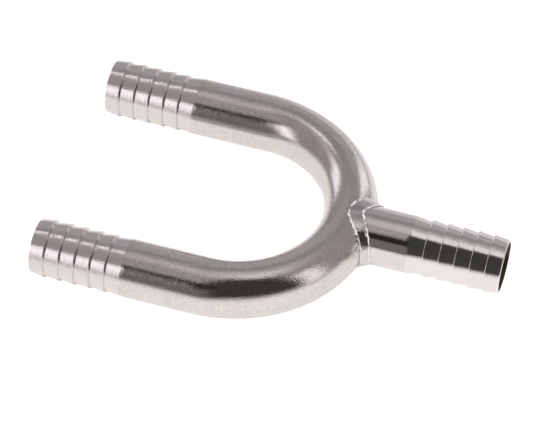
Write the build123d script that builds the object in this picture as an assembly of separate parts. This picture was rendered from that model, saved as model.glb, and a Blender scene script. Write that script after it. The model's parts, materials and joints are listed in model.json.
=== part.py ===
from build123d import *
import math
import os

# A hose connector bent and welded from one size of stainless tube: a U-shaped run
# with two parallel barbed legs, and a straight barbed stem welded to its crown.
# All sizes are in millimetres, and angles in degrees.

# The tube
tube_diameter = 13.0
tube_wall = 1.0

# The U, which lies flat: its legs point along -X and its crown along +X
leg_spacing = 52.0
leg_straight = 37.5
bend_narrowing = 1.0
bend_heightening = 0.44
bend_easing = 20.0

# The stem, from the centre line of the crown to its free end
stem_reach = 36.0
crown_hole_inset = 0.1

# The turned hose barbs, each a cone that is smallest towards the free end
barb_count = 6
barb_pitch = 3.5
barb_depth = 0.5
mouth_outer_chamfer = 0.2
mouth_inner_chamfer = 0.1

# The weld bead round the foot of the stem
bead_radius = 1.4
bead_relief = 0.02
bead_side_sink = 0.2

# Sizes that follow from those above
tube_radius = tube_diameter / 2
bore_radius = tube_radius - tube_wall
bend_radius = leg_spacing / 2
bend_half_width = (tube_diameter - bend_narrowing) / 2
bend_half_height = (tube_diameter + bend_heightening) / 2
stem_end = bend_radius + stem_reach
barb_root_radius = tube_radius - barb_depth
bead_crown_height = bend_half_height - bead_relief
centre_x = (stem_end - leg_straight) / 2


def barbed_rod(length):
    """A solid rod along +X from the origin, barbed up to its free end."""
    points = [(0, 0), (0, tube_radius)]
    for barb in range(barb_count, 0, -1):
        points.append((length - barb * barb_pitch, tube_radius))
        points.append((length - (barb - 1) * barb_pitch, barb_root_radius))
    points[-1] = (length - mouth_outer_chamfer, barb_root_radius)
    points.append((length, barb_root_radius - mouth_outer_chamfer))
    points.append((length, 0))
    return revolve(make_face(Polyline(*points, close=True)), Axis.X)


def bore_rod(length):
    """The room inside a barbed rod, with its mouth opened a little."""
    points = [
        (0, 0),
        (0, bore_radius),
        (length - mouth_inner_chamfer, bore_radius),
        (length, bore_radius + mouth_inner_chamfer),
        (length, 0),
    ]
    return revolve(make_face(Polyline(*points, close=True)), Axis.X)


def bend_section(angle, half_width, half_height):
    """An upright section across the bend, at an angle from the crown."""
    centre = Vector(bend_radius, 0, 0).rotate(Axis.Z, angle)
    along = Vector(0, 1, 0).rotate(Axis.Z, angle)
    plane = Plane(origin=centre, x_dir=centre.normalized(), z_dir=along)
    return plane * Ellipse(half_width, half_height)


def eased_end(side, half_width, half_height, round_radius):
    """The end of the bend, which turns from oval to round as it meets its leg."""
    oval = bend_section(side * (90 - bend_easing), half_width, half_height)
    ring = bend_section(side * 90, round_radius, round_radius)
    route = CenterArc((0, 0), bend_radius, side * (90 - bend_easing), side * bend_easing)
    return sweep([oval, ring], path=route, multisection=True)


def u_form(rod, half_width, half_height, round_radius):
    """The whole U as one solid: an oval bend, two eased ends and two legs."""
    first = bend_section(-(90 - bend_easing), half_width, half_height)
    form = revolve(first, Axis.Z, revolution_arc=180 - 2 * bend_easing)
    for side in (-1, 1):
        form += eased_end(side, half_width, half_height, round_radius)
        form += Pos(0, side * bend_radius, 0) * Rot(0, 0, 180) * rod
    return form


def crown_hole():
    """The hole in the crown that lets the stem's bore into the bend."""
    depth = 2 * bend_half_width
    hole = Cylinder(bore_radius - crown_hole_inset, depth, rotation=(0, 90, 0))
    return Pos(bend_radius + depth / 2, 0, 0) * hole


def foot_x(y, z):
    """How far out the bend reaches, under a point y, z on the stem's outer surface."""
    reach = bend_radius + bend_half_width * math.sqrt(1 - (z / bend_half_height) ** 2)
    return math.sqrt(reach**2 - y**2)


def weld_form():
    """The bead before the tubes are taken out of it, as a ring round the stem's foot."""
    top = Vector(foot_x(0, tube_radius), 0, 0)
    side = Vector(foot_x(tube_radius, 0), tube_radius - bead_side_sink, 0)
    outward = (side - top).normalized()
    bead_plane = Plane(top, x_dir=outward, z_dir=outward.cross(Vector(0, 0, 1)))
    arc_radius = bead_crown_height - bead_radius
    run = (side - top).length - arc_radius
    lower_run = Line((0, -arc_radius), (run, -arc_radius))
    arc = ThreePointArc((run, -arc_radius), (run + arc_radius, 0), (run, arc_radius))
    upper_run = Line((run, arc_radius), (0, arc_radius))
    route = bead_plane * (lower_run + arc + upper_run)
    start = top - Vector(0, 0, arc_radius)
    half = sweep(Plane(start, z_dir=outward) * Circle(bead_radius), path=Wire(route.edges()))
    form = half + mirror(half, Plane.XZ)
    for height in (-arc_radius, arc_radius):
        form += Pos(top.X, 0, height) * Sphere(bead_radius)
    return form


def stem_form():
    """The stem as a solid rod, from inside the crown to its free end."""
    return Pos(bend_radius, 0, 0) * barbed_rod(stem_reach)


outer_u = u_form(barbed_rod(leg_straight), bend_half_width, bend_half_height, tube_radius)
inner_u = u_form(
    bore_rod(leg_straight),
    bend_half_width - tube_wall,
    bend_half_height - tube_wall,
    bore_radius,
)
stem_bore = Pos(bend_radius, 0, 0) * bore_rod(stem_reach)

nodes = {
    "u_tube": outer_u - inner_u - crown_hole(),
    "stem_tube": stem_form() - stem_bore - outer_u,
    "weld_bead": weld_form() - stem_form() - outer_u,
}

os.makedirs("parts", exist_ok=True)
for name, shape in nodes.items():
    export_step(Pos(-centre_x, 0, bend_half_height) * shape, f"parts/{name}.step")
    print(name, len(shape.solids()), "solid", round(shape.volume, 1), "mm3")
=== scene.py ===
import json
import math

import bpy
from mathutils import Matrix, Vector


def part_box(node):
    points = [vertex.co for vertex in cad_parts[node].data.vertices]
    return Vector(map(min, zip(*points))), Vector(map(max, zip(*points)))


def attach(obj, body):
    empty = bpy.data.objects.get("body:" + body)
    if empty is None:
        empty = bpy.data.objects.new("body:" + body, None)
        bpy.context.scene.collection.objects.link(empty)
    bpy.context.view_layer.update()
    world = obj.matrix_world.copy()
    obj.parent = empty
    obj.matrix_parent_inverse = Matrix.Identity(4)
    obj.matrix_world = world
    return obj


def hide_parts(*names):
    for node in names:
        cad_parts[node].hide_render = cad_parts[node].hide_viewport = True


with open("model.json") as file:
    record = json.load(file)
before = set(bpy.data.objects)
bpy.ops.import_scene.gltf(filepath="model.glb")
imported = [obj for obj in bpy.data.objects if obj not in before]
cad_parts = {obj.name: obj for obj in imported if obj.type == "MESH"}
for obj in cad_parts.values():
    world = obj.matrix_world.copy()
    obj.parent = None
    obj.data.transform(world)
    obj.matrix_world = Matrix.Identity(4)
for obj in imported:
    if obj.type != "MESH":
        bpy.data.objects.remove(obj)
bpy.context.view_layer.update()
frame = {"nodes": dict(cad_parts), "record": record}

print("frame loaded:", ", ".join(frame["nodes"]))


def boxOf(node):
    low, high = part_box(node)
    return Vector(low), Vector(high)


boreMount = next(m for m in frame["record"]["mounts"] if m["name"] == "leg_bore_left")
uLow, uHigh = boxOf("u_tube")
stemLow, stemHigh = boxOf("stem_tube")

# sizes of the fitting, in metres, that come from the frame or repeat its form
fitting = {
    "tubeRadius": (stemHigh.z - stemLow.z) / 2,
    "boreRadius": boreMount["dims"]["r_mm"] / 1000,
    "boreFlare": 0.0001,                # the small chamfer inside each mouth
    "mouthRound": 0.0003,               # and the rounding outside
    "bendHalfHeight": (uHigh.z - uLow.z) / 2,
    "bendNarrowing": 0.001,             # what bending takes off the width of the tube
    "bendEasing": math.radians(20),     # the turn over which the oval fades away
    "crownHoleInset": 0.0001,
    "crownHoleSides": 96,
    "barbCount": 6,
    "barbPitch": 0.0035,
    "barbDepth": 0.0005,
    "barbEdge": 0.00012,                # rounding of the sharp crests
    "closeRing": 0.00015,               # how near a ring stands to the edge that it guards
    "copeMargin": 0.5,                  # the cope has faded this many pitches before the barbs
    "segments": 120,                    # faces round the tube
    "ringStep": 0.0009,
    "mergeWithin": 0.000002,
    "sharpAngle": math.radians(32),
}
fitting["bendRadius"] = (uHigh.y - uLow.y) / 2 - fitting["tubeRadius"]
fitting["bendHalfWidth"] = fitting["tubeRadius"] - fitting["bendNarrowing"] / 2
fitting["legStraight"] = boreMount["dims"]["length_mm"] / 1000 + fitting["boreFlare"]
bendCentre = Vector((uLow.x + fitting["legStraight"], 0, (uLow.z + uHigh.z) / 2))
fitting["stemEnd"] = stemHigh.x - bendCentre.x


def addNode(tree, kind, **settings):
    node = tree.nodes.new(kind)
    for name, value in settings.items():
        setattr(node, name, value)
    return node


def feed(tree, socket, value):
    # joins a socket to another one, or sets it to a constant
    if isinstance(value, bpy.types.NodeSocket):
        tree.links.new(value, socket)
    else:
        socket.default_value = value


def calc(tree, operation, *values):
    node = addNode(tree, "ShaderNodeMath", operation=operation)
    for socket, value in zip(node.inputs, values):
        feed(tree, socket, value)
    return node.outputs[0]


def scaleVector(tree, vector, factor):
    node = addNode(tree, "ShaderNodeVectorMath", operation="SCALE")
    feed(tree, node.inputs["Vector"], vector)
    feed(tree, node.inputs["Scale"], factor)
    return node.outputs["Vector"]


def joinVectors(tree, operation, first, second):
    node = addNode(tree, "ShaderNodeVectorMath", operation=operation)
    feed(tree, node.inputs[0], first)
    feed(tree, node.inputs[1], second)
    return node.outputs["Vector"]


def splitXyz(tree, vector):
    node = addNode(tree, "ShaderNodeSeparateXYZ")
    feed(tree, node.inputs[0], vector)
    return node.outputs[0], node.outputs[1], node.outputs[2]


def joinXyz(tree, x, y, z):
    node = addNode(tree, "ShaderNodeCombineXYZ")
    for socket, value in zip(node.inputs, (x, y, z)):
        feed(tree, socket, value)
    return node.outputs[0]


def easeRange(tree, value, low, high, start=0.0, end=1.0):
    node = addNode(tree, "ShaderNodeMapRange", interpolation_type="SMOOTHSTEP")
    for socket, given in zip(node.inputs, (value, low, high, start, end)):
        feed(tree, socket, given)
    return node.outputs[0]


socketKinds = {
    "Geometry": "NodeSocketGeometry",
    "Float": "NodeSocketFloat",
    "Int": "NodeSocketInt",
    "Vector": "NodeSocketVector",
    "Material": "NodeSocketMaterial",
}


def startTree(name, inputs):
    # a geometry tree with named inputs, given as a dictionary of name to kind
    tree = bpy.data.node_groups.new(name, "GeometryNodeTree")
    tree.is_modifier = True
    tree.interface.new_socket("Geometry", in_out="OUTPUT", socket_type="NodeSocketGeometry")
    tree.interface.new_socket("Geometry", in_out="INPUT", socket_type="NodeSocketGeometry")
    for inputName, kind in inputs.items():
        tree.interface.new_socket(inputName, in_out="INPUT", socket_type=socketKinds[kind])
    return tree, tree.nodes.new("NodeGroupInput").outputs, tree.nodes.new("NodeGroupOutput")


def useGroup(tree, group, geometry, values):
    node = addNode(tree, "GeometryNodeGroup", node_tree=group)
    feed(tree, node.inputs["Geometry"], geometry)
    for name, value in values.items():
        feed(tree, node.inputs[name], value)
    return node.outputs[0]


def movePoints(tree, geometry, position):
    node = addNode(tree, "GeometryNodeSetPosition")
    feed(tree, node.inputs["Geometry"], geometry)
    feed(tree, node.inputs["Position"], position)
    return node.outputs[0]


def joinParts(tree, *parts):
    node = addNode(tree, "GeometryNodeJoinGeometry")
    for part in parts:
        tree.links.new(part, node.inputs[0])
    return node.outputs[0]


def mergeClose(tree, geometry):
    node = addNode(tree, "GeometryNodeMergeByDistance")
    feed(tree, node.inputs["Geometry"], geometry)
    feed(tree, node.inputs["Distance"], fitting["mergeWithin"])
    return node.outputs[0]


def turnedAway(tree, geometry):
    # a copy turned half round the Z axis
    node = addNode(tree, "GeometryNodeTransform")
    feed(tree, node.inputs["Geometry"], geometry)
    feed(tree, node.inputs["Rotation"], (0, 0, math.pi))
    return node.outputs[0]


def readAttribute(tree, name, kind):
    node = addNode(tree, "GeometryNodeInputNamedAttribute", data_type=kind)
    node.inputs["Name"].default_value = name
    return node.outputs["Attribute"]


def keepAttribute(tree, geometry, name, value):
    node = addNode(tree, "GeometryNodeStoreNamedAttribute", data_type="FLOAT_VECTOR")
    feed(tree, node.inputs["Geometry"], geometry)
    node.inputs["Name"].default_value = name
    feed(tree, node.inputs["Value"], value)
    return node.outputs[0]


def samplePoint(tree, geometry, value, index):
    node = addNode(tree, "GeometryNodeSampleIndex", data_type="FLOAT_VECTOR")
    feed(tree, node.inputs["Geometry"], geometry)
    feed(tree, node.inputs["Value"], value)
    feed(tree, node.inputs["Index"], index)
    return node.outputs[0]


def makeGrid(tree, rows, columns):
    # a grid of points, with the row and the column of each
    grid = addNode(tree, "GeometryNodeMeshGrid")
    feed(tree, grid.inputs["Vertices X"], rows)
    feed(tree, grid.inputs["Vertices Y"], columns)
    index = addNode(tree, "GeometryNodeInputIndex").outputs[0]
    middle = calc(tree, "ADD", index, 0.5)      # half a step on, so that it never rounds down too far
    row = calc(tree, "FLOOR", calc(tree, "DIVIDE", middle, columns))
    column = calc(tree, "SUBTRACT", index, calc(tree, "MULTIPLY", row, columns))
    return grid.outputs["Mesh"], row, column


def finishTree(tree, groupOut, geometry, material, sharpAngle):
    # smooth faces with sharp turned edges, made real, in one material
    angle = addNode(tree, "GeometryNodeInputMeshEdgeAngle").outputs["Unsigned Angle"]
    faces = addNode(tree, "GeometryNodeSetShadeSmooth", domain="FACE")
    feed(tree, faces.inputs["Geometry"], geometry)
    edges = addNode(tree, "GeometryNodeSetShadeSmooth", domain="EDGE")
    feed(tree, edges.inputs["Geometry"], faces.outputs[0])
    feed(tree, edges.inputs["Selection"], calc(tree, "GREATER_THAN", angle, sharpAngle))
    edges.inputs["Shade Smooth"].default_value = False
    real = addNode(tree, "GeometryNodeRealizeInstances")
    feed(tree, real.inputs[0], edges.outputs[0])
    paint = addNode(tree, "GeometryNodeSetMaterial")
    feed(tree, paint.inputs["Geometry"], real.outputs[0])
    feed(tree, paint.inputs["Material"], material)
    tree.links.new(paint.outputs[0], groupOut.inputs[0])


def growPiece(name, points, attributes, tree, values):
    # runs a tree over a string of points and keeps the result as a plain mesh
    seed = bpy.data.meshes.new(name + "Seed")
    seed.from_pydata([tuple(p) for p in points], [], [])
    for attributeName, kind, entries in attributes:
        layer = seed.attributes.new(attributeName, kind, "POINT")
        key = "vector" if kind == "FLOAT_VECTOR" else "value"
        for item, entry in zip(layer.data, entries):
            setattr(item, key, entry)
    grower = bpy.data.objects.new(name + "Grower", seed)
    bpy.context.scene.collection.objects.link(grower)
    modifier = grower.modifiers.new(name, "NODES")
    modifier.node_group = tree
    for item in tree.interface.items_tree:
        if item.in_out == "INPUT" and item.name in values:
            modifier[item.identifier] = values[item.name]
    ready = grower.evaluated_get(bpy.context.evaluated_depsgraph_get())
    mesh = bpy.data.meshes.new_from_object(ready)
    mesh.name = name
    mesh.transform(Matrix.Translation(bendCentre))
    bpy.data.objects.remove(grower)
    piece = bpy.data.objects.new(name, mesh)
    bpy.context.scene.collection.objects.link(piece)
    print(name, "has", sum(len(f.vertices) - 2 for f in mesh.polygons), "triangles")
    return piece


# the outlines of a tube, as points of (place along it, radius), in order from its root
def spread(start, end, step):
    count = max(1, math.ceil(abs(end - start) / step))
    return [start + (end - start) * i / count for i in range(count + 1)]


def firstBarbOutline(start, end):
    # the plain run and the first barb, which has no step of its own
    root = fitting["tubeRadius"]
    barbStart = end - fitting["barbCount"] * fitting["barbPitch"]
    points = [(x, root) for x in spread(start, barbStart, fitting["ringStep"])]
    return points + barbCone(barbStart, root)


def barbCone(place, crest):
    # the cone of a barb, with close rings at both ends so that it shades as a true cone
    pitch = fitting["barbPitch"]
    close = fitting["closeRing"]
    slope = fitting["barbDepth"] / pitch
    rings = (close, 2 * close, pitch / 2, pitch - close, pitch)
    return [(place + x, crest - slope * x) for x in rings]


def barbCrest(place):
    # the step up at the back of a barb, with its sharp edge just rounded
    crest = fitting["tubeRadius"]
    edge = fitting["barbEdge"]
    points = [(place, crest - fitting["barbDepth"])]
    for turn in (0, 30, 60, 90):
        angle = math.radians(turn)
        ringPlace = place + edge * (1 - math.cos(angle))
        points.append((ringPlace, crest - edge * (1 - math.sin(angle))))
    return points


def oneBarbOutline(place):
    return barbCrest(place) + barbCone(place, fitting["tubeRadius"])


def roundedEdge(end, radius, size):
    # a quarter round from the outside of the tube to the flat of its mouth
    points = []
    for turn in (0, 22.5, 45, 67.5, 90):
        angle = math.radians(turn)
        ringPlace = end - size * (1 - math.sin(angle))
        points.append((ringPlace, radius - size * (1 - math.cos(angle))))
    return points


def mouthOutline(start, end):
    # the last barb, the mouth, and the bore all the way back
    root = fitting["tubeRadius"] - fitting["barbDepth"]
    bore = fitting["boreRadius"]
    flare = fitting["boreFlare"]
    points = barbCrest(end - fitting["barbPitch"])
    points += barbCone(end - fitting["barbPitch"], fitting["tubeRadius"])[:-1]
    points += roundedEdge(end, root, fitting["mouthRound"])
    points += [(end, bore + flare), (end - flare, bore)]
    return points + [(x, bore) for x in spread(end - flare, start, 2 * fitting["ringStep"])[1:]]


def tubeOutlines(start, end, closed):
    # every outline with its role: 0 plain run, 1 one barb, 2 mouth and bore, 3 foot rim
    firstBarb = end - (fitting["barbCount"] - 1) * fitting["barbPitch"]
    outlines = [
        firstBarbOutline(start, end),
        oneBarbOutline(firstBarb),
        mouthOutline(start, end),
        [(start, fitting["boreRadius"]), (start, fitting["tubeRadius"])] if closed else [],
    ]
    points = [(x, radius, 0) for outline in outlines for x, radius in outline]
    roles = [role for role, outline in enumerate(outlines) for point in outline]
    return points, [("role", "INT", roles)]


def spinOutlineTree():
    # turns the points of one role round the X axis
    tree, given, groupOut = startTree("spin outline", {"Role": "Int", "Segments": "Int"})
    role = readAttribute(tree, "role", "INT")
    apart = addNode(tree, "GeometryNodeSeparateGeometry", domain="POINT")
    feed(tree, apart.inputs["Geometry"], given["Geometry"])
    wanted = addNode(tree, "FunctionNodeCompare", data_type="INT", operation="EQUAL")
    feed(tree, wanted.inputs[2], role)
    feed(tree, wanted.inputs[3], given["Role"])
    feed(tree, apart.inputs["Selection"], wanted.outputs[0])
    outline = apart.outputs["Selection"]
    size = addNode(tree, "GeometryNodeAttributeDomainSize", component="MESH")
    feed(tree, size.inputs[0], outline)
    columns = calc(tree, "ADD", given["Segments"], 1)
    grid, row, column = makeGrid(tree, size.outputs["Point Count"], columns)
    place = addNode(tree, "GeometryNodeInputPosition").outputs[0]
    along, radius = splitXyz(tree, samplePoint(tree, outline, place, row))[:2]
    share = calc(tree, "DIVIDE", column, given["Segments"])
    angle = calc(tree, "MULTIPLY", share, 2 * math.pi)
    across = calc(tree, "MULTIPLY", radius, calc(tree, "COSINE", angle))
    height = calc(tree, "MULTIPLY", radius, calc(tree, "SINE", angle))
    turned = movePoints(tree, grid, joinXyz(tree, along, across, height))
    tree.links.new(mergeClose(tree, turned), groupOut.inputs[0])
    return tree


def barbedTubeTree(spin):
    # a plain run, like barbs set in a row at one pitch, and the mouth with its bore
    inputs = {"Segments": "Int", "Barb copies": "Int", "Barb pitch": "Float"}
    tree, given, groupOut = startTree("barbed tube", inputs)
    parts = []
    for role in (0, 1, 2, 3):
        values = {"Role": role, "Segments": given["Segments"]}
        parts.append(useGroup(tree, spin, given["Geometry"], values))
    row = addNode(tree, "GeometryNodeMeshLine", mode="OFFSET")
    feed(tree, row.inputs["Count"], given["Barb copies"])
    feed(tree, row.inputs["Offset"], joinXyz(tree, given["Barb pitch"], 0, 0))
    copies = addNode(tree, "GeometryNodeInstanceOnPoints")
    feed(tree, copies.inputs["Points"], row.outputs[0])
    feed(tree, copies.inputs["Instance"], parts[1])
    real = addNode(tree, "GeometryNodeRealizeInstances")
    feed(tree, real.inputs[0], copies.outputs[0])
    whole = joinParts(tree, parts[0], real.outputs[0], parts[2], parts[3])
    tree.links.new(mergeClose(tree, whole), groupOut.inputs[0])
    return tree


def bentPosition(tree, given):
    # lays the straight tube round the crown, and flattens it a little on the bend
    place = addNode(tree, "GeometryNodeInputPosition").outputs[0]
    along, across, height = splitXyz(tree, place)
    angle = calc(tree, "DIVIDE", along, given["Bend radius"])
    angle = calc(tree, "MINIMUM", calc(tree, "MAXIMUM", angle, -math.pi / 2), math.pi / 2)
    excess = calc(tree, "SUBTRACT", along, calc(tree, "MULTIPLY", angle, given["Bend radius"]))
    cosine = calc(tree, "COSINE", angle)
    sine = calc(tree, "SINE", angle)
    squeeze = easeRange(tree, cosine, 0.0, calc(tree, "SINE", given["Bend easing"]))
    width = calc(tree, "SUBTRACT", 1, calc(tree, "MULTIPLY", squeeze, given["Narrowing"]))
    tall = calc(tree, "ADD", 1, calc(tree, "MULTIPLY", squeeze, given["Heightening"]))
    reach = calc(tree, "SUBTRACT", given["Bend radius"], calc(tree, "MULTIPLY", across, width))
    x = calc(tree, "MULTIPLY", reach, cosine)
    x = calc(tree, "SUBTRACT", x, calc(tree, "MULTIPLY", excess, sine))
    y = calc(tree, "MULTIPLY", reach, sine)
    y = calc(tree, "ADD", y, calc(tree, "MULTIPLY", excess, cosine))
    return joinXyz(tree, x, y, calc(tree, "MULTIPLY", height, tall))


def uTubeTree(barbedTube):
    inputs = {"Segments": "Int", "Barb copies": "Int", "Barb pitch": "Float", "Bend radius": "Float",
              "Bend easing": "Float", "Narrowing": "Float", "Heightening": "Float",
              "Hole radius": "Float", "Hole sides": "Int", "Sharp angle": "Float",
              "Material": "Material"}
    tree, given, groupOut = startTree("bent tube with two barbed ends", inputs)
    shared = {name: given[name] for name in ("Segments", "Barb copies", "Barb pitch")}
    half = useGroup(tree, barbedTube, given["Geometry"], shared)
    straight = mergeClose(tree, joinParts(tree, half, turnedAway(tree, half)))
    place = addNode(tree, "GeometryNodeInputPosition").outputs[0]
    straight = keepAttribute(tree, straight, "tubePlace", place)
    bent = movePoints(tree, straight, bentPosition(tree, given))
    # the drill is one bend radius long and starts at the middle line of the bend
    drillPlace = calc(tree, "MULTIPLY", given["Bend radius"], 1.5)
    drill = addNode(tree, "GeometryNodeMeshCylinder")
    feed(tree, drill.inputs["Vertices"], given["Hole sides"])
    feed(tree, drill.inputs["Radius"], given["Hole radius"])
    feed(tree, drill.inputs["Depth"], given["Bend radius"])
    lay = addNode(tree, "GeometryNodeTransform")
    feed(tree, lay.inputs["Geometry"], drill.outputs["Mesh"])
    feed(tree, lay.inputs["Rotation"], (0, math.pi / 2, 0))
    feed(tree, lay.inputs["Translation"], joinXyz(tree, drillPlace, 0, 0))
    cut = addNode(tree, "GeometryNodeMeshBoolean", operation="DIFFERENCE")
    feed(tree, cut.inputs["Mesh 1"], bent)
    feed(tree, cut.inputs["Mesh 2"], lay.outputs[0])
    finishTree(tree, groupOut, cut.outputs["Mesh"], given["Material"], given["Sharp angle"])
    return tree


def stemTree(barbedTube):
    # the root of the stem is cut to the round of the crown, over its first stretch
    inputs = {"Segments": "Int", "Barb copies": "Int", "Barb pitch": "Float", "Bend radius": "Float",
              "Half width": "Float", "Half height": "Float", "Root": "Float", "Cope length": "Float",
              "Sharp angle": "Float", "Material": "Material"}
    tree, given, groupOut = startTree("stem with one barbed end", inputs)
    shared = {name: given[name] for name in ("Segments", "Barb copies", "Barb pitch")}
    tube = useGroup(tree, barbedTube, given["Geometry"], shared)
    place = addNode(tree, "GeometryNodeInputPosition").outputs[0]
    tube = keepAttribute(tree, tube, "tubePlace", place)
    along, across, height = splitXyz(tree, place)
    level = calc(tree, "POWER", calc(tree, "DIVIDE", height, given["Half height"]), 2)
    bulge = calc(tree, "SQRT", calc(tree, "SUBTRACT", 1, level))
    reach = calc(tree, "MULTIPLY_ADD", given["Half width"], bulge, given["Bend radius"])
    flat = calc(tree, "SUBTRACT", calc(tree, "POWER", reach, 2), calc(tree, "POWER", across, 2))
    foot = calc(tree, "SUBTRACT", calc(tree, "SQRT", flat), given["Root"])
    gone = calc(tree, "DIVIDE", calc(tree, "SUBTRACT", along, given["Root"]), given["Cope length"])
    kept = calc(tree, "MAXIMUM", calc(tree, "SUBTRACT", 1, gone), 0)
    coped = calc(tree, "MULTIPLY_ADD", foot, kept, along)
    tube = movePoints(tree, tube, joinXyz(tree, coped, across, height))
    finishTree(tree, groupOut, tube, given["Material"], given["Sharp angle"])
    return tree


def crownPoint(point):
    # the nearest place on the outside of the bend, and the way out from it
    flat = math.hypot(point.x, point.y)
    across = (flat - fitting["bendRadius"]) / fitting["bendHalfWidth"]
    up = point.z / fitting["bendHalfHeight"]
    size = math.hypot(across, up)
    newFlat = fitting["bendRadius"] + across / size * fitting["bendHalfWidth"]
    placed = Vector((point.x / flat * newFlat, point.y / flat * newFlat, point.z / size))
    lean = across / fitting["bendHalfWidth"]
    outward = Vector((point.x / flat * lean, point.y / flat * lean, up / fitting["bendHalfHeight"]))
    return placed, outward.normalized()


def footPoint(angle):
    # where the outside of the stem meets the outside of the bend
    y = fitting["tubeRadius"] * math.cos(angle)
    z = fitting["tubeRadius"] * math.sin(angle)
    reach = math.sqrt(1 - (z / fitting["bendHalfHeight"]) ** 2)
    flat = fitting["bendRadius"] + fitting["bendHalfWidth"] * reach
    return Vector((math.sqrt(flat ** 2 - y ** 2), y, z))


bead = {
    "rippleCount": 31,
    "stepsPerRipple": 12,
    "lanes": 57,
    "toeOnBend": 0.0012,        # how far the bead spreads over the bend at its sides
    "toeOnBendTop": 0.0018,     # and at the top and bottom, where the tubes are tangent
    "toeOnStem": 0.0017,        # how far it spreads over the stem
    "toeOnStemTop": 0.0022,
    "toeSink": 0.00008,
    "toeSharpness": 3,          # the spread changes near the top and bottom by this power
    "topGap": 0.00001,          # how far it keeps below the top of the bend
    "rise": 0.00028,            # its roundness above the straight line between its toes
    "topRise": 0.00009,
    "riseSharpness": 8,
    "flatness": 4.0,
    "toeWander": 0.30,
    "stemNoiseShift": 7,        # makes the two toes wander apart
    "toeScallop": 0.22,
    "stemScallopLoss": 0.6,     # the share of the scallops that the stem's side lacks
    "calmFrom": 0.0,            # the scallops grow from calm to full between these two heights
    "calmTo": 0.0045,
    "calmScallop": 0.25,
    "lipShare": 0.95,           # the raised lip along each toe, as a share of the rise
    "lipPlace": 0.84,
    "lipWidth": 0.11,
    "rippleBow": 0.35,          # how far each ripple is bowed along the bead, in ripples
    "rippleShare": 0.05,        # how deep the ripples are, as a share of the rise
    "rippleLean": 1.2,          # how deep they are at the bend's side; the stem's side has one less
    "roughDepth": 0.00002,
    "roughLength": 0.0009,
    "seed": 5.0,
}


def beadRoute():
    # the ring of points that the bead follows, with its two toes and its way out
    points, bendToes, stemToes, outs = [], [], [], []
    count = bead["rippleCount"] * bead["stepsPerRipple"]
    step = 2 * math.pi / count
    for i in range(count):
        angle = i * step
        here = footPoint(angle)
        along = (footPoint(angle + step / 2) - footPoint(angle - step / 2)).normalized()
        bendOut = crownPoint(here)[1]
        stemOut = Vector((0, math.cos(angle), math.sin(angle)))
        overBend = along.cross(bendOut).normalized()
        if overBend.dot(stemOut) < 0:
            overBend = -overBend
        overStem = along.cross(stemOut).normalized()
        if overStem.x < 0:
            overStem = -overStem
        top = abs(math.sin(angle)) ** bead["toeSharpness"]
        steep = math.sin(angle) ** bead["riseSharpness"]
        rise = bead["rise"] + (bead["topRise"] - bead["rise"]) * steep
        bendReach = bead["toeOnBend"] + (bead["toeOnBendTop"] - bead["toeOnBend"]) * top
        stemReach = bead["toeOnStem"] + (bead["toeOnStemTop"] - bead["toeOnStem"]) * top
        toe, toeOut = crownPoint(here + overBend * bendReach)
        points.append(here)
        bendToes.append(toe - toeOut * bead["toeSink"])
        stemToes.append(here + overStem * stemReach - stemOut * bead["toeSink"])
        outs.append((bendOut + stemOut).normalized() * rise)
    attributes = [("bendToe", "FLOAT_VECTOR", bendToes), ("stemToe", "FLOAT_VECTOR", stemToes),
                  ("out", "FLOAT_VECTOR", outs)]
    return points, attributes


def seededNoise(tree, place, seed, size, detail):
    # noise about zero, different for each seed
    node = addNode(tree, "ShaderNodeTexNoise", noise_dimensions="4D")
    feed(tree, node.inputs["Vector"], place)
    feed(tree, node.inputs["W"], seed)
    feed(tree, node.inputs["Scale"], calc(tree, "DIVIDE", 1, size))
    feed(tree, node.inputs["Detail"], detail)
    return calc(tree, "SUBTRACT", node.outputs[0], 0.5)


def scallop(tree, turn):
    # a row of round humps, one to each whole turn, about zero
    hump = calc(tree, "ABSOLUTE", calc(tree, "SINE", calc(tree, "MULTIPLY", turn, math.pi)))
    return calc(tree, "SUBTRACT", hump, 2 / math.pi)


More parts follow.
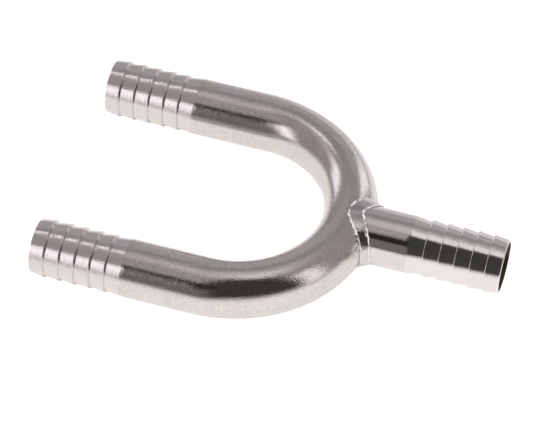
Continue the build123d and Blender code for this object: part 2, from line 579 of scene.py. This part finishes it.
def weldBeadTree():
    # a flattened run of metal between two scalloped toes, with the ripples of its cooling
    inputs = {"Lanes": "Int", "Ripples": "Float", "Ripple bow": "Float", "Ripple share": "Float",
              "Ripple lean": "Float", "Flatness": "Float", "Toe wander": "Float",
              "Stem noise shift": "Float", "Toe scallop": "Float", "Stem scallop loss": "Float",
              "Calm from": "Float", "Calm to": "Float", "Calm scallop": "Float",
              "Lip share": "Float", "Lip place": "Float", "Lip width": "Float",
              "Rough depth": "Float", "Rough length": "Float", "Seed": "Float",
              "Top limit": "Float", "Sharp angle": "Float", "Material": "Material"}
    tree, given, groupOut = startTree("weld bead round a foot", inputs)
    route = given["Geometry"]
    size = addNode(tree, "GeometryNodeAttributeDomainSize", component="MESH")
    feed(tree, size.inputs[0], route)
    count = size.outputs["Point Count"]
    grid, row, column = makeGrid(tree, calc(tree, "ADD", count, 1), given["Lanes"])
    around = calc(tree, "MODULO", row, count)
    share = calc(tree, "DIVIDE", column, calc(tree, "SUBTRACT", given["Lanes"], 1))
    place = addNode(tree, "GeometryNodeInputPosition").outputs[0]
    centre = samplePoint(tree, route, place, around)
    turn = calc(tree, "MULTIPLY", calc(tree, "DIVIDE", row, count), given["Ripples"])
    humps = calc(tree, "MULTIPLY", scallop(tree, turn), given["Toe scallop"])
    loss = calc(tree, "MULTIPLY", share, given["Stem scallop loss"])
    humps = calc(tree, "MULTIPLY", humps, calc(tree, "SUBTRACT", 1, loss))
    lift = splitXyz(tree, centre)[2]
    calm = easeRange(tree, lift, given["Calm from"], given["Calm to"], given["Calm scallop"], 1.0)
    humps = calc(tree, "MULTIPLY", humps, calm)
    line = centre
    half = calc(tree, "MULTIPLY_ADD", share, 2, -1)
    toes = [
        ("bendToe", 0.0, -1, calc(tree, "SUBTRACT", 1, share)),
        ("stemToe", given["Stem noise shift"], 1, share),
    ]
    for name, shift, sign, part in toes:
        toe = samplePoint(tree, route, readAttribute(tree, name, "FLOAT_VECTOR"), around)
        away = joinVectors(tree, "SUBTRACT", toe, centre)
        spot = joinVectors(tree, "ADD", centre, joinXyz(tree, 0, 0, shift))
        wander = seededNoise(tree, spot, given["Seed"], given["Rough length"], 2)
        factor = calc(tree, "MULTIPLY_ADD", wander, given["Toe wander"], humps)
        nearToe = calc(tree, "MAXIMUM", calc(tree, "MULTIPLY", half, sign), 0)
        factor = calc(tree, "MULTIPLY", factor, calc(tree, "MULTIPLY", nearToe, nearToe))
        step = scaleVector(tree, away, calc(tree, "ADD", factor, part))
        line = joinVectors(tree, "ADD", line, step)
    side = calc(tree, "ABSOLUTE", half)
    arch = calc(tree, "SUBTRACT", 1, calc(tree, "POWER", side, given["Flatness"]))
    fromLip = calc(tree, "DIVIDE", calc(tree, "SUBTRACT", side, given["Lip place"]), given["Lip width"])
    lip = calc(tree, "EXPONENT", calc(tree, "MULTIPLY", calc(tree, "MULTIPLY", fromLip, fromLip), -1))
    lip = calc(tree, "MULTIPLY", lip, given["Lip share"])
    bowed = calc(tree, "MULTIPLY_ADD", arch, given["Ripple bow"], turn)
    ripple = calc(tree, "MULTIPLY", scallop(tree, bowed), given["Ripple share"])
    lean = calc(tree, "SUBTRACT", given["Ripple lean"], share)
    ripple = calc(tree, "MULTIPLY", ripple, calc(tree, "MULTIPLY", arch, lean))
    out = samplePoint(tree, route, readAttribute(tree, "out", "FLOAT_VECTOR"), around)
    height = calc(tree, "ADD", calc(tree, "ADD", arch, ripple), lip)
    body = movePoints(tree, grid, joinVectors(tree, "ADD", line, scaleVector(tree, out, height)))
    smooth = mergeClose(tree, keepAttribute(tree, body, "beadSide", joinXyz(tree, side, 0, 0)))
    normal = addNode(tree, "GeometryNodeInputNormal").outputs[0]
    rough = seededNoise(tree, place, given["Seed"], given["Rough length"], 3)
    offset = addNode(tree, "GeometryNodeSetPosition")
    feed(tree, offset.inputs["Geometry"], smooth)
    push = calc(tree, "MULTIPLY", rough, given["Rough depth"])
    feed(tree, offset.inputs["Offset"], scaleVector(tree, normal, push))
    x, y, z = splitXyz(tree, place)
    lowest = calc(tree, "MULTIPLY", given["Top limit"], -1)
    level = calc(tree, "MAXIMUM", calc(tree, "MINIMUM", z, given["Top limit"]), lowest)
    kept = movePoints(tree, offset.outputs[0], joinXyz(tree, x, y, level))
    finishTree(tree, groupOut, kept, given["Material"], given["Sharp angle"])
    return tree


# the steels, each with its own finish
steel = {
    "satin": {"tint": (0.74, 0.714, 0.688), "barbTint": (0.78, 0.755, 0.735), "roughness": 0.11,
              "grainDepth": 0.000033, "turningDepth": 0.0, "speckTone": 0.11},
    "bright": {"tint": (0.79, 0.765, 0.745), "barbTint": (0.87, 0.85, 0.83), "roughness": 0.10,
               "grainDepth": 0.000004, "turningDepth": 0.000004, "speckTone": 0.05},
    "barbRoughness": 0.10,
    # the mouth's rim is painted pale: a painted highlight
    "rimHighlightTint": (1.0, 0.99, 0.98),
    "rimRoughness": 0.22,
    # the bore is painted dark brown: painted shade inside the tube
    "borePaintedShadeTint": (0.24, 0.205, 0.12),
    "boreRoughness": 0.5,
    "boreBlend": (0.00003, 0.00012),    # the bore's painted shade ends this far outside its wall
    "patchSize": 0.006,
    "patchShare": 0.2,
    "speckSize": 0.00042,
    "speckShare": 0.8,
    "fineness": 0.75,                   # how strong the finest detail of the specks and lines is
    "mottleBand": (0.34, 0.66),
    "roughSpotSize": 0.0014,
    "roughSpread": 0.12,
    "grainSize": 0.00030,
    "turningSize": 0.00017,             # the fine rings left by turning
    "turningDepth": 0.000014,
    "turningTone": 0.08,
    "turningBand": (0.30, 0.70),
    "weldTint": (0.76, 0.74, 0.73),
    "weldTones": (0.8, 1.15),           # the darkest and the lightest share of that tint
    "weldCloudBand": (0.4, 0.62),
    "weldRoughness": (0.09, 0.24),
    "lipHighlightTint": (1.0, 0.98, 0.97),
    "lipRoughness": 0.34,
    "lipHighlightMetal": 0.30,                   # the lips are painted paler and less mirror-like than the rest: a painted highlight
    "lipHighlightBreakSize": 0.0008,             # and the painted highlight is broken by darker places
    "lipHighlightBreakBand": (0.42, 0.50),
    "lipHighlightBand": (0.13, 0.20),            # how wide the painted highlight on the lip is, as shares of the half width
    # a dark toe along each edge: painted shade in the crevice, with dark oxide
    "toeShadeAndOxideTint": (0.26, 0.25, 0.245),
    "toeShadeAndOxideBand": (0.93, 0.97),
    "weldSpotSize": 0.0020,
    "weldGrainSize": 0.0006,
    "weldGrainDepth": 0.000012,
}


def startMaterial(name):
    material = bpy.data.materials.new(name)
    material.use_nodes = True
    tree = material.node_tree
    shader = tree.nodes["Principled BSDF"]
    shader.inputs["Metallic"].default_value = 1.0
    return material, tree, shader


def pieceAttribute(tree, name):
    return addNode(tree, "ShaderNodeAttribute", attribute_name=name).outputs["Vector"]


def noise(tree, vector, size, detail, roughness=0.5):
    node = addNode(tree, "ShaderNodeTexNoise")
    feed(tree, node.inputs["Vector"], vector)
    feed(tree, node.inputs["Scale"], 1 / size)
    feed(tree, node.inputs["Detail"], detail)
    feed(tree, node.inputs["Roughness"], roughness)
    return node.outputs[0]


def mixColor(tree, share, first, second):
    node = addNode(tree, "ShaderNodeMix", data_type="RGBA")
    feed(tree, node.inputs["Factor"], share)
    for socket, color in zip(node.inputs[6:8], (first, second)):
        feed(tree, socket, color if isinstance(color, bpy.types.NodeSocket) else (*color, 1))
    return node.outputs[2]


def mixValue(tree, share, first, second):
    node = addNode(tree, "ShaderNodeMix", data_type="FLOAT")
    feed(tree, node.inputs[0], share)
    feed(tree, node.inputs[2], first)
    feed(tree, node.inputs[3], second)
    return node.outputs[0]


def bumpFrom(tree, height, distance):
    node = addNode(tree, "ShaderNodeBump")
    node.inputs["Strength"].default_value = 1.0
    feed(tree, node.inputs["Distance"], distance)
    feed(tree, node.inputs["Height"], height)
    return node


def boreShare(tree, place):
    # 1 on the wall of the bore, 0 on the outside
    across, height = splitXyz(tree, place)[1:]
    flat = calc(tree, "POWER", across, 2)
    radius = calc(tree, "SQRT", calc(tree, "ADD", flat, calc(tree, "POWER", height, 2)))
    wallStart, wallEnd = [fitting["boreRadius"] + width for width in steel["boreBlend"]]
    return easeRange(tree, radius, wallStart, wallEnd, 1.0, 0.0)


def toneRange(tree, value, band, tone):
    # a factor about 1, from darker to lighter by the tone
    return easeRange(tree, value, *band, 1 - tone, 1 + tone)


def tubeSteel(name, end, finish):
    # plain tube, with turned barbs, a rim painted pale as a painted highlight, and a bore painted dark
    # brown as painted shade
    material, tree, shader = startMaterial(name)
    place = pieceAttribute(tree, "tubePlace")
    along = calc(tree, "ABSOLUTE", splitXyz(tree, place)[0])
    barbStart = end - fitting["barbCount"] * fitting["barbPitch"]
    blend = fitting["closeRing"]
    turned = easeRange(tree, along, barbStart - blend, barbStart + blend)
    inside = boreShare(tree, place)
    patch = noise(tree, place, steel["patchSize"], 3)
    speck = noise(tree, place, steel["speckSize"], 3, steel["fineness"])
    patchPart = calc(tree, "MULTIPLY", patch, steel["patchShare"])
    mottle = calc(tree, "MULTIPLY_ADD", speck, steel["speckShare"], patchPart)
    lines = noise(tree, joinXyz(tree, along, 0, 0), steel["turningSize"], 3, steel["fineness"])
    grainTone = toneRange(tree, mottle, steel["mottleBand"], finish["speckTone"])
    lineTone = toneRange(tree, lines, steel["turningBand"], steel["turningTone"])
    tint = mixColor(tree, turned, finish["tint"], finish["barbTint"])
    color = scaleVector(tree, tint, mixValue(tree, turned, grainTone, lineTone))
    # the rim is painted pale here: a painted highlight on the mouth's edge
    rim = easeRange(tree, along, end - fitting["mouthRound"] - blend, end - fitting["mouthRound"])
    color = mixColor(tree, rim, color, steel["rimHighlightTint"])
    # the bore is painted dark brown: painted shade inside the tube
    color = mixColor(tree, inside, color, steel["borePaintedShadeTint"])
    feed(tree, shader.inputs["Base Color"], color)
    rough = mixValue(tree, turned, finish["roughness"], steel["barbRoughness"])
    spots = noise(tree, place, steel["roughSpotSize"], 3)
    spots = calc(tree, "SUBTRACT", spots, 0.5)
    rough = calc(tree, "MULTIPLY_ADD", spots, steel["roughSpread"], rough)
    rough = mixValue(tree, rim, rough, steel["rimRoughness"])
    rough = mixValue(tree, inside, rough, steel["boreRoughness"])
    feed(tree, shader.inputs["Roughness"], rough)
    grain = bumpFrom(tree, noise(tree, place, steel["grainSize"], 2), finish["grainDepth"])
    lineDepth = mixValue(tree, turned, finish["turningDepth"], steel["turningDepth"])
    turning = bumpFrom(tree, lines, lineDepth)
    tree.links.new(grain.outputs[0], turning.inputs["Normal"])
    tree.links.new(turning.outputs[0], shader.inputs["Normal"])
    return material


def weldSteel(name):
    # grey in the middle, with a broken painted highlight along each lip, and a dark toe along each edge
    # that is painted shade in the crevice together with dark oxide
    material, tree, shader = startMaterial(name)
    place = addNode(tree, "ShaderNodeTexCoord").outputs["Object"]
    side = splitXyz(tree, pieceAttribute(tree, "beadSide"))[0]
    fromLip = calc(tree, "ABSOLUTE", calc(tree, "SUBTRACT", side, bead["lipPlace"]))
    # a painted highlight along each lip
    lip = easeRange(tree, fromLip, *steel["lipHighlightBand"], 1.0, 0.0)
    # a dark toe: painted shade in the crevice where the bead meets the tube, with dark oxide
    toe = easeRange(tree, side, *steel["toeShadeAndOxideBand"])
    cloud = noise(tree, place, steel["weldSpotSize"], 2)
    dull, bright = [[c * tone for c in steel["weldTint"]] for tone in steel["weldTones"]]
    color = mixColor(tree, cloud, dull, bright)
    color = mixColor(tree, lip, color, steel["lipHighlightTint"])
    color = mixColor(tree, toe, color, steel["toeShadeAndOxideTint"])
    feed(tree, shader.inputs["Base Color"], color)
    rough = easeRange(tree, cloud, *steel["weldCloudBand"], *steel["weldRoughness"])
    feed(tree, shader.inputs["Roughness"], mixValue(tree, lip, rough, steel["lipRoughness"]))
    breaks = noise(tree, place, steel["lipHighlightBreakSize"], 1)
    breaks = easeRange(tree, breaks, *steel["lipHighlightBreakBand"])
    # where the painted highlight is pale and less metallic
    pale = calc(tree, "MULTIPLY", lip, breaks)
    feed(tree, shader.inputs["Metallic"], mixValue(tree, pale, 1.0, steel["lipHighlightMetal"]))
    scales = noise(tree, place, steel["weldGrainSize"], 3)
    ripple = bumpFrom(tree, scales, steel["weldGrainDepth"])
    tree.links.new(ripple.outputs[0], shader.inputs["Normal"])
    return material


halfLength = math.pi * fitting["bendRadius"] / 2 + fitting["legStraight"]
uSteel = tubeSteel("satin_steel_tube", halfLength, steel["satin"])
stemSteel = tubeSteel("bright_steel_stem", fitting["stemEnd"], steel["bright"])
beadSteel = weldSteel("weld_steel_bead")
print("steels made")

spinOutline = spinOutlineTree()
barbedTube = barbedTubeTree(spinOutline)
barbValues = {
    "Segments": fitting["segments"],
    "Barb copies": fitting["barbCount"] - 2,    # the first and the last have outlines of their own
    "Barb pitch": fitting["barbPitch"],
    "Bend radius": fitting["bendRadius"],
    "Sharp angle": fitting["sharpAngle"],
}

points, roles = tubeOutlines(0, halfLength, closed=False)
uTube = growPiece("bent_u_tube", points, roles, uTubeTree(barbedTube), {
    **barbValues,
    "Bend easing": fitting["bendEasing"],
    "Narrowing": 1 - fitting["bendHalfWidth"] / fitting["tubeRadius"],
    "Heightening": fitting["bendHalfHeight"] / fitting["tubeRadius"] - 1,
    "Hole radius": fitting["boreRadius"] - fitting["crownHoleInset"],
    "Hole sides": fitting["crownHoleSides"],
    "Material": uSteel,
})
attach(uTube, "root")
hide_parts("u_tube")

stemRoot = footPoint(math.pi / 2).x
barbLength = (fitting["barbCount"] + fitting["copeMargin"]) * fitting["barbPitch"]
points, roles = tubeOutlines(stemRoot, fitting["stemEnd"], closed=True)
stem = growPiece("coped_stem_tube", points, roles, stemTree(barbedTube), {
    **barbValues,
    "Half width": fitting["bendHalfWidth"],
    "Half height": fitting["bendHalfHeight"],
    "Root": stemRoot,
    "Cope length": fitting["stemEnd"] - stemRoot - barbLength,
    "Material": stemSteel,
})
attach(stem, "root")
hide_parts("stem_tube")

route, toes = beadRoute()
weldBead = growPiece("rippled_weld_bead", route, toes, weldBeadTree(), {
    "Lanes": bead["lanes"],
    "Ripples": float(bead["rippleCount"]),
    "Ripple bow": bead["rippleBow"],
    "Ripple share": bead["rippleShare"],
    "Ripple lean": bead["rippleLean"],
    "Flatness": bead["flatness"],
    "Toe wander": bead["toeWander"],
    "Stem noise shift": float(bead["stemNoiseShift"]),
    "Toe scallop": bead["toeScallop"],
    "Stem scallop loss": bead["stemScallopLoss"],
    "Calm from": bead["calmFrom"],
    "Calm to": bead["calmTo"],
    "Calm scallop": bead["calmScallop"],
    "Lip share": bead["lipShare"],
    "Lip place": bead["lipPlace"],
    "Lip width": bead["lipWidth"],
    "Rough depth": bead["roughDepth"],
    "Rough length": bead["roughLength"],
    "Seed": bead["seed"],
    "Top limit": fitting["bendHalfHeight"] - bead["topGap"],
    "Sharp angle": math.pi,
    "Material": beadSteel,
})
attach(weldBead, "root")
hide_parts("weld_bead")
print("pieces made")


# the room round the table: pale windows and dark screens, by direction in degrees
# azimuth 0 is the front of the table, and grows towards the stem
room = {
    "wall": (0.335, 0.30, 0.306),
    "ceiling": (0.60, 0.565, 0.545),
    "ceilingFade": (55, 80),            # the elevations between which wall becomes ceiling
    "panels": [
        {"azimuth": -168, "halfWidth": 26, "low": 2, "high": 60, "lean": 0.0, "soft": 14,
         "shade": (0.40, 0.385, 0.395)},
        {"azimuth": -170, "halfWidth": 34, "low": 44, "high": 60, "lean": 0.0, "soft": 8,
         "shade": (0.29, 0.275, 0.28)},
        {"azimuth": -100, "halfWidth": 8, "low": 36, "high": 60, "lean": 0.0, "soft": 8,
         "shade": (0.50, 0.465, 0.475)},
        {"azimuth": -64, "halfWidth": 40, "low": 62, "high": 80, "lean": 0.0, "soft": 8,
         "shade": (0.35, 0.32, 0.32)},
        {"azimuth": 29, "halfWidth": 37, "low": 5, "high": 77, "lean": 0.0, "soft": 4,
         "shade": (0.046, 0.044, 0.039)},
        {"azimuth": -24, "halfWidth": 12, "low": 56, "high": 66, "lean": 0.0, "soft": 4,
         "shade": (0.44, 0.41, 0.41)},
        {"azimuth": -15, "halfWidth": 15, "low": 32, "high": 54, "lean": 0.0, "soft": 4,
         "shade": (0.02, 0.018, 0.018)},
        {"azimuth": -12, "halfWidth": 14, "low": -4, "high": 33, "lean": 0.0, "soft": 8,
         "shade": (0.17, 0.155, 0.155)},
        {"azimuth": -6, "halfWidth": 8, "low": 54, "high": 78, "lean": 0.0, "soft": 4,
         "shade": (0.07, 0.065, 0.065)},
        {"azimuth": 8, "halfWidth": 27, "low": 74, "high": 84, "lean": 0.0, "soft": 5,
         "shade": (0.14, 0.13, 0.13)},
        {"azimuth": -38.5, "halfWidth": 10.5, "low": -2, "high": 41, "lean": 0.20, "soft": 7,
         "shade": (1.30, 1.22, 1.28)},
        {"azimuth": -121, "halfWidth": 5, "low": 54, "high": 62, "lean": 0.0, "soft": 3,
         "shade": (2.4, 2.3, 2.35)},
        {"azimuth": 100, "halfWidth": 52, "low": 74, "high": 86, "lean": 0.0, "soft": 5,
         "shade": (0.82, 0.80, 0.79)},
        {"azimuth": -115, "halfWidth": 9, "low": -5, "high": 37, "lean": 0.15, "soft": 5,
         "shade": (1.15, 1.08, 1.19)},
        {"azimuth": 76, "halfWidth": 8, "low": -2, "high": 49, "lean": 0.02, "soft": 5,
         "shade": (1.05, 0.97, 1.02)},
        {"azimuth": 156, "halfWidth": 8, "low": -10, "high": 34, "lean": 0.0, "soft": 6,
         "shade": (1.10, 1.05, 1.07)},
        {"azimuth": 173, "halfWidth": 16, "low": -10, "high": 12, "lean": 0.0, "soft": 12,
         "shade": (0.80, 0.78, 0.79)},
    ],
}


def softPanel(tree, azimuth, elevation, panel):
    # 1 inside the panel and 0 outside, with soft edges
    centre = calc(tree, "MULTIPLY_ADD", elevation, panel["lean"], panel["azimuth"])
    away = calc(tree, "WRAP", calc(tree, "SUBTRACT", azimuth, centre), 180, -180)
    away = calc(tree, "ABSOLUTE", away)
    soft = panel["soft"] / 2
    side = easeRange(tree, away, panel["halfWidth"] - soft, panel["halfWidth"] + soft, 1.0, 0.0)
    bottom = easeRange(tree, elevation, panel["low"] - soft, panel["low"] + soft)
    top = easeRange(tree, elevation, panel["high"] - soft, panel["high"] + soft, 1.0, 0.0)
    return calc(tree, "MULTIPLY", side, calc(tree, "MULTIPLY", bottom, top))


def paintRoom():
    world = bpy.data.worlds.new("studio room")
    bpy.context.scene.world = world
    world.use_nodes = True
    tree = world.node_tree
    background = tree.nodes["Background"]
    direction = addNode(tree, "ShaderNodeTexCoord").outputs["Generated"]
    x, y, z = splitXyz(tree, direction)
    azimuth = calc(tree, "DEGREES", calc(tree, "ARCTAN2", x, calc(tree, "MULTIPLY", y, -1)))
    elevation = calc(tree, "DEGREES", calc(tree, "ARCSINE", z))
    high = easeRange(tree, elevation, *room["ceilingFade"])
    color = mixColor(tree, high, room["wall"], room["ceiling"])
    for panel in room["panels"]:
        color = mixColor(tree, softPanel(tree, azimuth, elevation, panel), color, panel["shade"])
    seen = addNode(tree, "ShaderNodeLightPath").outputs["Is Camera Ray"]
    color = mixColor(tree, seen, color, (1, 1, 1))
    tree.links.new(color, background.inputs["Color"])


floorSettings = {
    "size": 6.0,
    "shade": (0.80, 0.789, 0.778),
    # the far floor is painted darker: painted shade outside the painted pool of light
    "paintedFarShade": (0.44, 0.42, 0.41),
    "paintedLightPool": (0.035, 0.15),              # where the painted pool of light in the middle of the floor starts and ends to fade
    "seenGlow": 0.70,
    "reflectedGlow": 0.14,
}


def layFloor():
    mesh = bpy.data.meshes.new("pale_floor")
    half = floorSettings["size"] / 2
    corners = [(-half, -half, 0), (half, -half, 0), (half, half, 0), (-half, half, 0)]
    mesh.from_pydata(corners, [], [(0, 1, 2, 3)])
    floor = bpy.data.objects.new("pale_floor", mesh)
    bpy.context.scene.collection.objects.link(floor)
    material = bpy.data.materials.new("pale paper")
    material.use_nodes = True
    tree = material.node_tree
    tree.nodes.clear()
    paper = addNode(tree, "ShaderNodeBsdfDiffuse")
    place = addNode(tree, "ShaderNodeTexCoord").outputs["Object"]
    away = addNode(tree, "ShaderNodeVectorMath", operation="LENGTH")
    tree.links.new(place, away.inputs[0])
    # the floor's colour is painted darker away from the middle: a painted pool of light round the
    # object
    paintedPoolFade = easeRange(tree, away.outputs["Value"], *floorSettings["paintedLightPool"])
    shade = mixColor(tree, paintedPoolFade, floorSettings["shade"], floorSettings["paintedFarShade"])
    feed(tree, paper.inputs["Color"], shade)
    rays = addNode(tree, "ShaderNodeLightPath").outputs
    reflected = calc(tree, "MAXIMUM", rays["Is Glossy Ray"], rays["Is Transmission Ray"])
    strength = calc(tree, "MULTIPLY", reflected, floorSettings["reflectedGlow"])
    strength = calc(tree, "MULTIPLY_ADD", rays["Is Camera Ray"], floorSettings["seenGlow"], strength)
    glow = addNode(tree, "ShaderNodeEmission")
    feed(tree, glow.inputs["Strength"], strength)
    both = addNode(tree, "ShaderNodeAddShader")
    tree.links.new(paper.outputs[0], both.inputs[0])
    tree.links.new(glow.outputs[0], both.inputs[1])
    out = addNode(tree, "ShaderNodeOutputMaterial")
    tree.links.new(both.outputs[0], out.inputs["Surface"])
    mesh.materials.append(material)


lampSettings = {
    "size": 0.7,
    "place": Vector((-0.05, -0.55, 0.75)),
    "power": 8.0,
}


def hangLamp():
    # a wide soft lamp in front of the table, which lights the floor and casts the soft shadow
    lamp = bpy.data.lights.new("soft lamp", "AREA")
    lamp.shape = "DISK"
    lamp.size = lampSettings["size"]
    lamp.energy = lampSettings["power"]
    holder = bpy.data.objects.new("soft lamp", lamp)
    holder.location = lampSettings["place"]
    holder.rotation_euler = lampSettings["place"].to_track_quat("Z", "Y").to_euler()
    holder.visible_glossy = False
    bpy.context.scene.collection.objects.link(holder)


paintRoom()
layFloor()
hangLamp()
print("room painted, floor laid and lamp hung")

view = {
    "azimuth": math.radians(14.643),
    "elevation": math.radians(47.459),
    "roll": math.radians(2.638),
    "distance": 0.66575,
    "lens": 202.25,
    "sensor": 36,
    "aim": Vector((-0.003958, -0.002457, 0.00672)),
}


def placeCamera():
    sinAz, cosAz = math.sin(view["azimuth"]), math.cos(view["azimuth"])
    sinEl, cosEl = math.sin(view["elevation"]), math.cos(view["elevation"])
    back = Vector((cosEl * sinAz, -cosEl * cosAz, sinEl))
    level = (-back).cross(Vector((0, 0, 1))).normalized()
    upright = level.cross(-back)
    right = math.cos(view["roll"]) * level + math.sin(view["roll"]) * upright
    up = math.cos(view["roll"]) * upright - math.sin(view["roll"]) * level
    camera = bpy.data.cameras.new("product camera")
    camera.lens = view["lens"]
    camera.sensor_width = view["sensor"]
    holder = bpy.data.objects.new("product camera", camera)
    turn = Matrix((right, up, back)).transposed().to_4x4()
    holder.matrix_world = Matrix.Translation(view["aim"] + back * view["distance"]) @ turn
    bpy.context.scene.collection.objects.link(holder)
    bpy.context.scene.camera = holder


placeCamera()
bpy.context.scene.view_settings.view_transform = "Standard"
